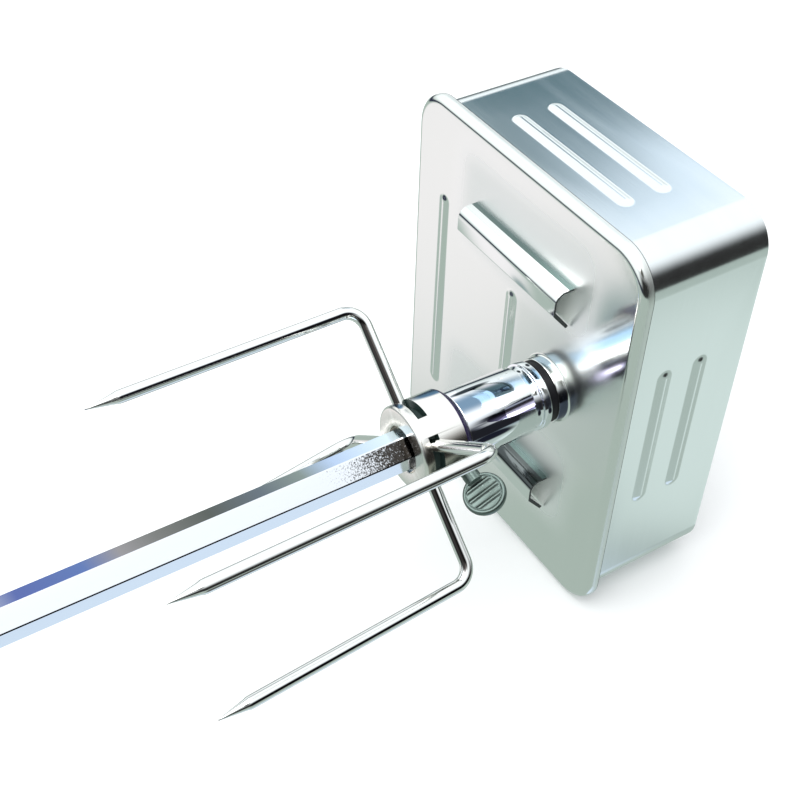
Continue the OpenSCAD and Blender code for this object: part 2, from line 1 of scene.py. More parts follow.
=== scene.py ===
"""Looks of the rotisserie drive unit: housing, rails, spit, bushing and fork. Metres, in the CAD's frame."""
import json
import math

import bmesh
import bpy
from mathutils import Matrix, Vector


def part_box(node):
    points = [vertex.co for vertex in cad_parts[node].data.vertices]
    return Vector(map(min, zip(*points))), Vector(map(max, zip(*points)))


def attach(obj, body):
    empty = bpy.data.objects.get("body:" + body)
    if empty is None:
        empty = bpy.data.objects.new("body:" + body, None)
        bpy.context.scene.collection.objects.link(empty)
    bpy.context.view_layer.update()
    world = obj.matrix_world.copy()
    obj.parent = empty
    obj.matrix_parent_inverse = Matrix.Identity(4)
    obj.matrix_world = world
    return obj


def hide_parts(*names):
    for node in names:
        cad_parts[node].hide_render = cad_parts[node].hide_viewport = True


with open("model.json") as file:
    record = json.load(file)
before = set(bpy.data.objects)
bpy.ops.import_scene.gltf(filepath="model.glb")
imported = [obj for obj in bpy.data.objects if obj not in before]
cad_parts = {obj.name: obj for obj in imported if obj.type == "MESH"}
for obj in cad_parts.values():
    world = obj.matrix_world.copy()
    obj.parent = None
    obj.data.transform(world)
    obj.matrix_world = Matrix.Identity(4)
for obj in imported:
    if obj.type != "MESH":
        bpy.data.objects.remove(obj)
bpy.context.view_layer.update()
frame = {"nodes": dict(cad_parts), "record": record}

MM = 0.001
NODES = frame["nodes"]


def lo(node):
    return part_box(node)[0]


def hi(node):
    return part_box(node)[1]


# ---- sizes, from the CAD's own boxes ----

SPIT = (lo("spit_bushing") + hi("spit_bushing")) / 2
SPIT_X, SPIT_Z = SPIT.x, SPIT.z
COVER_W = hi("front_cover").x - lo("front_cover").x
COVER_H = hi("front_cover").z - lo("front_cover").z
RIM_Y = hi("front_cover").y
BODY_HALF_W = -lo("body_shell").x
BODY_HALF_H = -lo("body_shell").z
BODY_Y0, BODY_Y1 = lo("body_shell").y, hi("body_shell").y
SHEET = BODY_Y0
COVER_R = 15.5 * MM
EDGE_R = 3.0 * MM
BODY_R = 14.6 * MM
RIB_W, RIB_H = 5.0 * MM, 0.85 * MM
RIB_FILLET = 0.9 * MM
RIB_REACH = RIB_W / 2 + RIB_FILLET
RIB_STEPS = 14
LONG_RIB, SHORT_RIB = 91 * MM, 62 * MM
LONG_RIB_X = 44.5 * MM
RIB_YS = (19.3 * MM, 34.8 * MM)
RAIL_FLANGE = 6 * MM
COVER_HOLE_R = 10.8 * MM
ROD_AF, HEX_HOLE_AF = 12.7 * MM, 12.9 * MM
PILOT_R = 4 * MM
HEX_CORNER = 20.3  # degrees from +X
UPPER_FLAT, SPECKLED_FLAT = HEX_CORNER + 90, HEX_CORNER + 30
TINE_R, TINE_BEND_R = 2.25 * MM, 7 * MM
TINE_Y = -55.7 * MM
TINES = {  # angle about the spit, reach of the leg, outward lean, side lean, length from the bend
    "tine_1": (140, 50.3, 0, 0, 99),
    "tine_2": (-40.5, 49.3, 3, 0.5, 98),
    "tine_3": (38.5, 56.2, 0.2, -0.7, 109.5),
    "tine_4": (-140.5, 55.3, -1.4, 6.6, 109),
}
FLOOR_Z = lo("front_cover").z
SAME_POINT = 1e-7


# ---- mesh helpers ----

def new_object(name, verts, faces):
    mesh = bpy.data.meshes.new(name)
    mesh.from_pydata([tuple(v) for v in verts], [], [tuple(f) for f in faces])
    mesh.update()
    obj = bpy.data.objects.new(name, mesh)
    bpy.context.scene.collection.objects.link(obj)
    return obj


def finish_mesh(obj, sharp=32.0):
    """Merges doubles, points the faces outward, and smooths all but the sharp edges."""
    bm = bmesh.new()
    bm.from_mesh(obj.data)
    bmesh.ops.remove_doubles(bm, verts=bm.verts, dist=SAME_POINT)
    bmesh.ops.recalc_face_normals(bm, faces=bm.faces)
    for face in bm.faces:
        face.smooth = True
    limit = math.radians(sharp)
    for edge in bm.edges:
        edge.smooth = len(edge.link_faces) == 2 and edge.calc_face_angle(0) < limit
    bm.to_mesh(obj.data)
    bm.free()
    return obj


def facing(angle):
    """Direction out of the spit's axis at an angle from +X, in degrees."""
    return Vector((math.cos(math.radians(angle)), 0, math.sin(math.radians(angle))))


def circle(n):
    """The (cos, sin) of n even steps round a circle."""
    return [(math.cos(2 * math.pi * i / n), math.sin(2 * math.pi * i / n)) for i in range(n)]


def arc(cx, cy, r, a0, a1, n):
    """Points of an arc in plan, angles in degrees."""
    return [(cx + r * math.cos(math.radians(a0 + (a1 - a0) * i / n)),
             cy + r * math.sin(math.radians(a0 + (a1 - a0) * i / n))) for i in range(n + 1)]


def rounded_outline(half_w, half_h, r, n=14):
    """Closed outline of a rounded rectangle, anticlockwise."""
    cx, cy = half_w - r, half_h - r
    return (arc(cx, cy, r, 0, 90, n) + arc(-cx, cy, r, 90, 180, n)
            + arc(-cx, -cy, r, 180, 270, n) + arc(cx, -cy, r, 270, 360, n))


def round_corners(corners, n):
    """Rounds a closed outline, given as a point and a radius for each corner, in n steps a corner."""
    out = []
    for i, (point, r) in enumerate(corners):
        p = Vector(point)
        a = (Vector(corners[i - 1][0]) - p).normalized()
        b = (Vector(corners[(i + 1) % len(corners)][0]) - p).normalized()
        angle = a.angle(b)
        if r <= 0 or abs(angle - math.pi) < 1e-3:
            out.append(tuple(p))
            continue
        reach = r / math.tan(angle / 2)
        centre = p + (a + b).normalized() * (r / math.sin(angle / 2))
        start, end = p + a * reach - centre, p + b * reach - centre
        for k in range(n + 1):
            way = start.normalized().slerp(end.normalized(), k / n) * start.length
            out.append(tuple(centre + way))
    return out


def loft(rings, closed=True, cap_start=True, cap_end=True):
    """Joins rings of points of one length into a skin. A ring of one point closes to a tip."""
    verts, faces, starts = [], [], []
    for ring in rings:
        starts.append(len(verts))
        verts += ring
    for k in range(len(rings) - 1):
        a, b = rings[k], rings[k + 1]
        n = max(len(a), len(b))
        for i in range(n if closed else n - 1):
            j = (i + 1) % n
            if len(a) == 1:
                faces.append((starts[k], starts[k + 1] + j, starts[k + 1] + i))
            elif len(b) == 1:
                faces.append((starts[k] + i, starts[k] + j, starts[k + 1]))
            else:
                faces.append((starts[k] + i, starts[k] + j, starts[k + 1] + j, starts[k + 1] + i))
    if cap_start and len(rings[0]) > 2:
        faces.append(tuple(range(starts[0] + len(rings[0]) - 1, starts[0] - 1, -1)))
    if cap_end and len(rings[-1]) > 2:
        faces.append(tuple(range(starts[-1], starts[-1] + len(rings[-1]))))
    return verts, faces


def lathe(name, profile, segments=96, closed=True):
    """Turns a profile of (y, r) points about the spit axis. A closed profile makes a ring."""
    rings = []
    points = list(profile)
    if closed:
        points.append(points[0])
    for y, r in points:
        if r < SAME_POINT:
            rings.append([(SPIT_X, y, SPIT_Z)])
        else:
            rings.append([(SPIT_X + r * c, y, SPIT_Z + r * s) for c, s in circle(segments)])
    verts, faces = loft(rings, cap_start=False, cap_end=False)
    return new_object(name, verts, faces)


def place(part, origin, u, v, w):
    """Moves a part's local (a, b, c) points onto the axes u, v, w at an origin."""
    verts, faces = part
    origin, u, v, w = Vector(origin), Vector(u), Vector(v), Vector(w)
    return [tuple(origin + u * a + v * b + w * c) for a, b, c in verts], faces


def subtract(obj, cutter):
    """Cuts the cutter out of a piece and deletes it."""
    mod = obj.modifiers.new("cut", "BOOLEAN")
    mod.operation = "DIFFERENCE"
    mod.object = cutter
    mod.solver = "EXACT"
    apply_modifiers(obj)
    bpy.data.objects.remove(cutter)


def apply_modifiers(obj):
    graph = bpy.context.evaluated_depsgraph_get()
    mesh = bpy.data.meshes.new_from_object(obj.evaluated_get(graph))
    obj.modifiers.clear()
    obj.data = mesh


def bevel(obj, width, angle):
    """Breaks the edges that are sharper than an angle, in degrees."""
    mod = obj.modifiers.new("bevel", "BEVEL")
    mod.width = width
    mod.segments = 2
    mod.limit_method = "ANGLE"
    mod.angle_limit = math.radians(angle)
    apply_modifiers(obj)


def join_parts(name, parts):
    verts, faces = [], []
    for part_verts, part_faces in parts:
        base = len(verts)
        verts += part_verts
        faces += [tuple(base + i for i in f) for f in part_faces]
    return new_object(name, verts, faces)


# ---- embossed sheet ----

def capsule(length, inset, n=16):
    """Outline of a rib's footprint, drawn in by inset, along b."""
    r = RIB_REACH - inset
    half = (length - RIB_W) / 2
    return arc(0, half, r, 0, 180, n) + arc(0, -half, r, 180, 360, n)


def rib_height(s):
    """Height of the rib where it is s in from its footprint's edge: a fillet, a flank and a round crown."""
    return RIB_H * math.sin(math.pi / 2 * s / RIB_REACH) ** 1.8


def embossed_panel(outline, ribs):
    """A flat panel in (a, b), with ribs raised along c. Each rib is (a, b, length, along_a)."""
    bm = bmesh.new()
    margin = 0.35 * MM

    def ring(points):
        verts = [bm.verts.new(p) for p in points]
        return verts, [bm.edges.new((verts[i], verts[(i + 1) % len(verts)])) for i in range(len(verts))]

    def strip(outer, inner):
        for i in range(len(outer)):
            j = (i + 1) % len(outer)
            bm.faces.new((outer[i], outer[j], inner[j], inner[i]))

    def shaped(rib, inset, height):
        a0, b0, length, along_a = rib
        return [(a0 + (b if along_a else a), b0 + (-a if along_a else b), height)
                for a, b in capsule(length, inset)]

    edges = ring([(a, b, 0) for a, b in outline])[1]
    for rib in ribs:
        last, rib_edges = ring(shaped(rib, -margin, 0))
        edges += rib_edges
        for k in range(RIB_STEPS + 1):
            inset = RIB_REACH * 0.985 * k / RIB_STEPS
            verts = [bm.verts.new(p) for p in shaped(rib, inset, rib_height(inset))]
            strip(last, verts)
            last = verts
        bm.faces.new(last)
    bmesh.ops.triangle_fill(bm, edges=edges, use_beauty=True)
    bm.verts.index_update()
    verts = [tuple(v.co) for v in bm.verts]
    faces = [tuple(v.index for v in f.verts) for f in bm.faces]
    bm.free()
    return verts, faces


# ---- shader nodes ----

def add_node(tree, kind, inputs=None, **settings):
    """A new shader node. An input takes a number, a vector, a colour, or another node's output to link."""
    made = tree.nodes.new("ShaderNode" + kind)
    for key, value in settings.items():
        setattr(made, key, value)
    for key, value in (inputs or {}).items():
        socket = made.inputs[key]
        if isinstance(value, bpy.types.NodeSocket):
            tree.links.new(value, socket)
        else:
            socket.default_value = (*value, 1) if socket.type == "RGBA" else value
    return made


def ramp(tree, value, start, end, ease="SMOOTHSTEP"):
    """0 at start and 1 at end."""
    inputs = {"Value": value, "From Min": start, "From Max": end}
    return add_node(tree, "MapRange", inputs, interpolation_type=ease).outputs["Result"]


def product(tree, a, b):
    return add_node(tree, "Math", {0: a, 1: b}, operation="MULTIPLY").outputs["Value"]


def multiply_add(tree, a, factor, b):
    return add_node(tree, "Math", {0: a, 1: factor, 2: b}, operation="MULTIPLY_ADD").outputs["Value"]


def cosine(tree, vector, direction):
    """The cosine between a unit vector and a direction."""
    inputs = {0: vector, 1: tuple(Vector(direction).normalized())}
    return add_node(tree, "VectorMath", inputs, operation="DOT_PRODUCT").outputs["Value"]


def near(tree, vector, direction, inner, outer):
    """1 within inner degrees of a direction, and 0 beyond outer degrees."""
    return ramp(tree, cosine(tree, vector, direction), math.cos(math.radians(outer)),
                math.cos(math.radians(inner)))


def blend(tree, factor, a, b, kind="RGBA"):
    return add_node(tree, "Mix", {"Factor": factor, "A": a, "B": b}, data_type=kind).outputs["Result"]


def new_material(name):
    """An empty material and its node tree."""
    mat = bpy.data.materials.new(name)
    mat.use_nodes = True
    mat.node_tree.nodes.clear()
    return mat, mat.node_tree


# ---- materials ----

def material(name, colour, metallic=0.0, roughness=0.5, vary=0.05, tint=0.04, scale=40, stretch=(1, 1, 1),
             bump=0.02, bump_scale=400, wear=0.0, specular=0.5, coat=0.0, cloud=0.0):
    """A procedural surface: streaks in roughness and colour, fine bump, lighter worn edges."""
    mat, tree = new_material(name)
    spot = add_node(tree, "TexCoord").outputs["Object"]
    stretched = add_node(tree, "Mapping", {"Vector": spot, "Scale": stretch}).outputs["Vector"]

    def noise(vector, size, detail, rough):
        inputs = {"Vector": vector, "Scale": size, "Detail": detail, "Roughness": rough}
        return add_node(tree, "TexNoise", inputs).outputs["Fac"]

    streak = noise(stretched, scale, 8, 0.6)
    blotch = noise(spot, 22, 3, 0.5)
    rough = add_node(tree, "MapRange", {"Value": streak, "To Min": max(0.02, roughness - vary),
                                        "To Max": min(1.0, roughness + vary)}).outputs["Result"]
    rough = multiply_add(tree, blotch, vary * 0.8, rough)

    dark = [c * (1 - tint) for c in colour]
    light = [min(1.0, c * (1 + tint)) for c in colour]
    tone = blend(tree, multiply_add(tree, blotch, cloud, streak), dark, light)
    if wear:
        pointiness = add_node(tree, "NewGeometry").outputs["Pointiness"]
        edge = add_node(tree, "MapRange", {"Value": pointiness, "From Min": 0.52, "From Max": 0.60,
                                           "To Max": wear}).outputs["Result"]
        tone = blend(tree, edge, tone, [min(1.0, c * 1.15 + 0.08) for c in colour])

    relief = add_node(tree, "Bump", {"Strength": bump, "Distance": 0.2 * MM,
                                     "Height": noise(stretched, bump_scale, 4, 0.6)})
    shader = add_node(tree, "BsdfPrincipled", {
        "Base Color": tone, "Metallic": metallic, "Roughness": rough, "Specular IOR Level": specular,
        "Coat Weight": coat, "Coat Roughness": 0.08, "Normal": relief.outputs["Normal"]})
    add_node(tree, "OutputMaterial", {"Surface": shader.outputs["BSDF"]})
    return mat


SURFACES = {  # slot: colour, metallic, roughness, and the rest by name
    "cover_steel": ((0.80, 0.82, 0.79), 1, 0.10, dict(
        vary=0.03, tint=0.02, scale=60, stretch=(1, 1, 0.06), bump=0.01, bump_scale=900, cloud=0.3)),
    "body_steel": ((0.80, 0.83, 0.83), 1, 0.15, dict(
        tint=0.05, scale=120, stretch=(0.04, 1, 0.04), bump=0.05, bump_scale=1500, cloud=0.3)),
    "rail_steel": ((0.82, 0.84, 0.82), 1, 0.08, dict(
        vary=0.03, tint=0.02, scale=80, stretch=(0.05, 1, 1), bump=0.01, wear=0.3)),
    "chrome_bushing": ((0.88, 0.90, 0.93), 1, 0.04, dict(
        vary=0.015, tint=0.02, scale=60, bump=0.012, bump_scale=300)),
    "hub_nickel": ((0.84, 0.82, 0.78), 1, 0.20, dict(
        tint=0.03, scale=90, stretch=(1, 0.08, 1), bump_scale=900, wear=0.3)),
    "tine_wire": ((0.82, 0.82, 0.80), 1, 0.09, dict(vary=0.03, tint=0.03, scale=90, bump_scale=500)),
    "rod_steel": ((0.80, 0.82, 0.86), 1, 0.13, dict(
        scale=90, stretch=(1, 0.05, 1), bump=0.03, bump_scale=900)),
    "screw_zinc": ((0.14, 0.18, 0.165), 1, 0.30, dict(
        vary=0.06, tint=0.06, scale=150, bump=0.06, bump_scale=900, wear=0.6)),
    "collar_plastic": ((0.006, 0.006, 0.008), 0, 0.42, dict(
        vary=0.08, tint=0.2, specular=0.25, scale=150, bump=0.05, bump_scale=1200)),
    "black_plastic": ((0.025, 0.025, 0.027), 0, 0.5, dict(
        vary=0.08, tint=0.15, scale=150, bump=0.12, bump_scale=1400)),
    "rocker_plastic": ((0.018, 0.018, 0.018), 0, 0.28, dict(
        vary=0.06, tint=0.15, scale=100, bump=0.03, bump_scale=900, coat=0.2)),
    "seal_rubber": ((0.03, 0.03, 0.03), 0, 0.7, dict(
        vary=0.1, tint=0.2, scale=200, bump=0.15, bump_scale=1200)),
    "zinc_steel": ((0.70, 0.72, 0.74), 1, 0.28, dict(
        vary=0.08, tint=0.08, scale=200, bump=0.05, bump_scale=900, wear=0.3)),
    "plate_steel": ((0.62, 0.64, 0.66), 1, 0.36, dict(
        vary=0.08, tint=0.06, scale=120, bump=0.05, bump_scale=900)),
    "gear_nylon": ((0.82, 0.78, 0.66), 0, 0.38, dict(vary=0.06, scale=90, bump=0.05, bump_scale=800)),
    "gear_brass": ((0.80, 0.58, 0.26), 1, 0.22, dict(
        vary=0.06, tint=0.06, scale=120, bump=0.04, bump_scale=900)),
    "bronze_bush": ((0.55, 0.36, 0.20), 1, 0.42, dict(
        vary=0.1, tint=0.1, scale=300, bump=0.12, bump_scale=1500)),
    "lamination_steel": ((0.16, 0.17, 0.19), 1, 0.42, dict(
        vary=0.08, tint=0.15, stretch=(0.02, 30, 0.02), bump=0.4, bump_scale=60)),
    "rotor_aluminium": ((0.66, 0.67, 0.68), 1, 0.4, dict(
        vary=0.08, tint=0.06, scale=200, bump=0.1, bump_scale=900)),
    "coil_copper": ((0.60, 0.26, 0.10), 0.6, 0.34, dict(
        vary=0.08, tint=0.15, scale=30, stretch=(30, 0.1, 0.1), bump=0.5, bump_scale=60)),
    "ground_steel": ((0.74, 0.75, 0.77), 1, 0.16, dict(
        tint=0.03, scale=120, stretch=(1, 8, 1), bump_scale=900)),
}
MATS = {slot: material(slot, colour, metallic, roughness, **rest)
        for slot, (colour, metallic, roughness, rest) in SURFACES.items()}


def layer(mat, socket, factor, value):
    """Blends a value over what feeds one of the shader's sockets."""
    tree = mat.node_tree
    shader = next(n for n in tree.nodes if n.type == "BSDF_PRINCIPLED")
    source = shader.inputs[socket].links[0].from_socket
    kind = "RGBA" if socket == "Base Color" else "FLOAT"
    tree.links.new(blend(tree, factor, source, value, kind), shader.inputs[socket])


def shade_by_normal(mat, direction, inner, outer, colour, rides=False):
    """Paints a reflection tone into the base colour of the metal that faces within (inner, outer) degrees of
    a direction.

    The direction stays put as the piece turns, unless it rides on the piece.
    """
    normal = add_node(mat.node_tree, "TexCoord" if rides else "NewGeometry").outputs["Normal"]
    layer(mat, "Base Color", near(mat.node_tree, normal, direction, inner, outer), colour)


def variant(slot, name, *shades):
    """A copy of a slot's material with painted reflections laid over it."""
    mat = MATS[slot].copy()
    mat.name = name
    for shade in shades:
        shade_by_normal(mat, *shade)
    return mat


# Painted reflections on the bushing: dark blue, black and violet-grey bands, set by the way its surface
# faces.
BUSHING_MAT = variant("chrome_bushing", "chrome_bushing_painted_reflections",
                      (facing(78), 4, 20, (0.17, 0.26, 0.36)),
                      (facing(102), 3, 6, (0.02, 0.03, 0.04)),
                      (facing(27), 6, 14, (0.44, 0.48, 0.64)),
                      (facing(13), 4, 7, (0.02, 0.02, 0.04)))
# Painted reflections on the hub: a dark blue band and a dull warm band, set by the way it faces.
HUB_MAT = variant("hub_nickel", "hub_nickel_painted_reflections",
                  (facing(116), 7, 13, (0.05, 0.14, 0.24)),
                  (facing(18), 10, 34, (0.46, 0.42, 0.37)))
# Painted reflections on the neck ring: blue-grey on top, dark on the side that faces right.
NECK_MAT = variant("cover_steel", "cover_steel_painted_reflections",
                   (facing(98), 14, 30, (0.42, 0.52, 0.60)),
                   (facing(4), 22, 46, (0.09, 0.10, 0.15)))
# Painted reflections on the tines: a dark core and thin dark and pale bands, set by the way the wire faces.
# The pale copy has one soft dark band.
DARK_PAINTED_WIRE = variant("tine_wire", "tine_wire_dark_painted_reflections",
                    (facing(35), 6, 13, (0.02, 0.02, 0.03)),
                    (facing(130), 2, 6, (0.30, 0.30, 0.38)),
                    (facing(-30), 4, 10, (0.25, 0.24, 0.25)),
                    ((0.493, -0.643, 0.587), 16, 34, (0.04, 0.036, 0.034)))
PALE_PAINTED_WIRE = variant("tine_wire", "tine_wire_pale_painted_reflections",
                    (facing(6), 3, 12, (0.20, 0.18, 0.18)))
# Painted shade: darkens the lower rail where it faces up, under the spit.
RAIL_PAINTED_SHADE = variant("rail_steel", "rail_steel_painted_shade",
                    ((0, 0, 1), 62, 84, (0.07, 0.08, 0.08)))
# Painted shade on the flute's edge and a painted reflection on its floor: dark edge, pale violet floor.
FLUTE_EDGE_PAINTED_SHADE = material("flute_edge_painted_shade", (0.10, 0.09, 0.16), 1.0, 0.12, scale=60, bump=0.02)
FLUTE_FLOOR_PAINTED_REFLECTION = material("flute_floor_painted_reflection", (0.62, 0.58, 0.78), 1.0, 0.14, scale=60, bump=0.02)
JOINT_SHADE = material("joint_shade", (0.03, 0.02, 0.07), 0.6, 0.3, scale=60, bump=0.02)
# Painted shade: near-black on the back lip of the cover's rim, where it meets the body, and on the rails' end
# faces.
EDGE_PAINTED_SHADE = material("edge_painted_shade", (0.03, 0.035, 0.035), 0.2, 0.5, scale=200, bump=0.1)
# Painted light: a pale, non-metal surface inside the rails, so the hollow reads pale.
INSIDE_PAINTED_LIGHT = material("inside_painted_light", (0.92, 0.97, 0.94), 0.0, 0.5, scale=120, bump=0.03)
# Painted shade: near-black inside the hub's slots.
SLOT_PAINTED_SHADE = material("slot_painted_shade", (0.02, 0.04, 0.035), 0.3, 0.4, scale=200, bump=0.05)
# Painted reflection: dark green on the web's top next to the cover, for the web mirrored in the cover.
WEB_PAINTED_REFLECTION = material("web_painted_reflection", (0.12, 0.17, 0.16), 1.0, 0.15, scale=90, stretch=(0.05, 1, 1), bump=0.01)


def paint(obj, mats, choose):
    """Adds materials to a piece, and gives each polygon the number that choose(centre, normal) returns."""
    for mat in mats:
        obj.data.materials.append(mat)
    for polygon in obj.data.polygons:
        polygon.material_index = choose(polygon.center, polygon.normal)


for entry in frame["record"]["subparts"]:
    NODES[entry["node"]].data.materials.clear()
    NODES[entry["node"]].data.materials.append(MATS[entry["material_slot"]])


def dress(obj, body, slot, node, mat=None):
    """Gives a piece its material and the body it rides on, and hides the CAD node that it stands for."""
    obj.data.materials.clear()
    obj.data.materials.append(mat or MATS[slot])
    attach(obj, body)
    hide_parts(node)


# ---- front cover ----

def dull_and_paint_light(mat, centre, half, soft, roughness, colour=None):
    """Raises a metal's roughness inside a soft-edged box, and may paint light there as a paler base colour.
    """
    tree = mat.node_tree
    spot = add_node(tree, "TexCoord").outputs["Object"]
    offset = add_node(tree, "VectorMath", {0: spot, 1: centre}, operation="SUBTRACT").outputs["Vector"]
    away = add_node(tree, "VectorMath", {0: offset}, operation="ABSOLUTE").outputs["Vector"]
    split = add_node(tree, "SeparateXYZ", {"Vector": away}).outputs
    mask = 1.0
    for axis, reach in zip("XYZ", half):
        mask = product(tree, mask, ramp(tree, split[axis], reach + soft, reach))
    layer(mat, "Roughness", mask, roughness)
    if colour:
        layer(mat, "Base Color", mask, colour)


def cover_finish():
    """Polished sheet that is duller round the rails, the collar and along the turned rim, with painted light:
    a paler colour round the rails.
    """
    mat = variant("cover_steel", "cover_steel_dulled_painted_light")
    skin, beyond = 0.2 * MM, 1
    for node in ("upper_rail", "lower_rail"):
        middle = (lo(node).x + hi(node).x) / 2
        # Painted light: a paler colour round each rail.
        dull_and_paint_light(mat, (middle, 0, hi(node).z - RAIL_FLANGE), (29 * MM, skin, 10 * MM), 18 * MM, 0.40,
             (0.95, 0.95, 0.94))
    dull_and_paint_light(mat, (SPIT_X + 8 * MM, 0, SPIT_Z + 4 * MM), (26 * MM, skin, 20 * MM), 8 * MM, 0.24)
    dull_and_paint_light(mat, (0, 4 * MM, 0), (beyond, 1.2 * MM, beyond), 1.5 * MM, 0.42)
    return mat


def build_front_cover():
    e, lip = EDGE_R, 0.15 * MM
    # Depth of the rim's back lip, which gets the painted shade line.
    shaded_lip = 0.3 * MM
    half_w, half_h = COVER_W / 2, COVER_H / 2
    flat = rounded_outline(half_w - e, half_h - e, COVER_R - e)
    panel = embossed_panel(flat, [(-LONG_RIB_X, 0, LONG_RIB, False), (0, 0, SHORT_RIB, False)])
    face = place(panel, (0, 0, 0), (1, 0, 0), (0, 0, 1), (0, -1, 0))

    def rolled(r, angles):
        """How far in and how far back the rolled edge lies, at a radius and at angles round it."""
        return [(e - r * math.sin(math.radians(a)), e - r * math.cos(math.radians(a))) for a in angles]

    section = (rolled(e, (0, 3, 12, 24, 36, 48, 60, 72, 84, 90))
               + [(0, RIM_Y - shaded_lip), (0.1 * MM, RIM_Y), (SHEET - lip, RIM_Y), (SHEET, RIM_Y - lip),
                  (SHEET, e)]
               + rolled(e - SHEET, (66, 44, 22, 0)))
    rings = [[(a, y, b) for a, b in rounded_outline(half_w - inset, half_h - inset, COVER_R - inset)]
             for inset, y in section]
    cover = finish_mesh(join_parts("front_cover_shell", [face, loft(rings, cap_start=False)]), sharp=40)
    drill = [(-5 * MM, 0), (-5 * MM, COVER_HOLE_R), (5 * MM, COVER_HOLE_R), (5 * MM, 0)]
    subtract(cover, finish_mesh(lathe("hole", drill, closed=False)))
    finish_mesh(cover, sharp=40)
    dress(cover, "housing", "cover_steel", "front_cover", mat=cover_finish())
    # The rim's back lip gets the painted shade line where it meets the body.
    paint(cover, [EDGE_PAINTED_SHADE], lambda centre, normal: int(centre.y > RIM_Y - shaded_lip - 0.01 * MM))


# ---- body shell ----

def build_body_shell():
    y0, y1 = BODY_Y0, BODY_Y1
    mid, half_d = (y0 + y1) / 2, (y1 - y0) / 2
    flat_w, flat_h = BODY_HALF_W - BODY_R, BODY_HALF_H - BODY_R
    ribs = [(0, y - mid, SHORT_RIB, True) for y in RIB_YS]

    def rectangle(half_a, half_b):
        return [(-half_a, -half_b), (half_a, -half_b), (half_a, half_b), (-half_a, half_b)]

    top = embossed_panel(rectangle(flat_w, half_d), ribs)
    side = embossed_panel(rectangle(flat_h, half_d), ribs)
    parts = [place(top, (0, mid, BODY_HALF_H), (1, 0, 0), (0, 1, 0), (0, 0, 1)),
             place(side, (BODY_HALF_W, mid, 0), (0, 0, 1), (0, 1, 0), (1, 0, 0))]
    for sx, sz, a0 in ((1, 1, 0), (-1, 1, 90), (-1, -1, 180), (1, -1, 270)):
        bend = arc(sx * flat_w, sz * flat_h, BODY_R, a0, a0 + 90, 16)
        parts.append(loft([[(a, y, b) for a, b in bend] for y in (y0, y1)], closed=False,
                          cap_start=False, cap_end=False))
    plain = [[(-BODY_HALF_W, y0, -flat_h), (-BODY_HALF_W, y1, -flat_h), (-BODY_HALF_W, y1, flat_h),
              (-BODY_HALF_W, y0, flat_h)],
             [(-flat_w, y0, -BODY_HALF_H), (flat_w, y0, -BODY_HALF_H), (flat_w, y1, -BODY_HALF_H),
              (-flat_w, y1, -BODY_HALF_H)]]
    parts += [(corners, [(0, 1, 2, 3)]) for corners in plain]
    shell = finish_mesh(join_parts("body_shell_skin", parts), sharp=40)
    solid = shell.modifiers.new("sheet", "SOLIDIFY")
    solid.thickness = SHEET
    solid.offset = -1
    apply_modifiers(shell)
    finish_mesh(shell, sharp=40)
    dress(shell, "housing", "body_steel", "body_shell")


# ---- rails ----

def build_rail(name, node, mat):
    """A bent strip with a round shoulder and a folded lip, drawn in (y, z) and extruded along X."""
    low, high = lo(node), hi(node)
    web, out = high.z - RAIL_FLANGE, -low.y
    t, lip_t = 0.9 * MM, 1.3 * MM
    knee = Vector((-out, web - 9 * MM))
    tip = Vector((-1.3 * MM, web - 16.6 * MM))
    fold = (tip - knee).normalized()
    inner_tip = tip + Vector((-fold.y, fold.x)) * lip_t
    shoulder = 4.2 * MM
    corners = [((SHEET + t, web - t), 0.3 * MM), ((SHEET + t, high.z), 0.2 * MM), ((SHEET, high.z), 0.2 * MM),
               ((SHEET, web), 0.2 * MM), ((-2 * MM, web), 0), ((-out, web), shoulder), (knee, 1.0 * MM),
               (tip, 0.3 * MM), (inner_tip, 0.3 * MM), ((-out + t, knee.y + lip_t), 0.4 * MM),
               ((-out + t, web - t), shoulder - t)]
    profile = round_corners(corners, n=9)
    verts, faces = loft([[(x, y, z) for y, z in profile] for x in (low.x, high.x)])
    rail = finish_mesh(new_object(name, verts, faces), sharp=34)
    bevel(rail, 0.12 * MM, angle=60)
    finish_mesh(rail, sharp=34)
    dress(rail, "housing", "rail_steel", node, mat=mat)

    def choose(centre, normal):
        # The rail's end faces get the painted shade.
        if abs(normal.x) > 0.5:
            return 1
        # Faces that look back into the rail get the painted light.
        if normal.y > 0.3 or (normal.z < -0.3 and centre.z > web - 5 * MM):
            return 2
        # The web's top next to the cover gets the painted reflection.
        return 3 if normal.z > 0.9 and -2 * MM < centre.y < 0 else 0

    paint(rail, [EDGE_PAINTED_SHADE, INSIDE_PAINTED_LIGHT, WEB_PAINTED_REFLECTION], choose)


# ---- spit, bushing and collar ----

def build_collar():
    r, bore = (hi("collar_bush").x - lo("collar_bush").x) / 2, 9.05 * MM
    front, back = lo("collar_bush").y, hi("collar_bush").y
    e, gap = 0.7 * MM, 0.02 * MM
    profile = ([(front, bore)] + arc(front + e, r - e, e, 180, 90, 3)
               + [(-gap, r), (0, COVER_HOLE_R), (back, COVER_HOLE_R), (back, bore)])
    collar = finish_mesh(lathe("collar_ring", profile), sharp=45)
    dress(collar, "housing", "collar_plastic", "collar_bush")


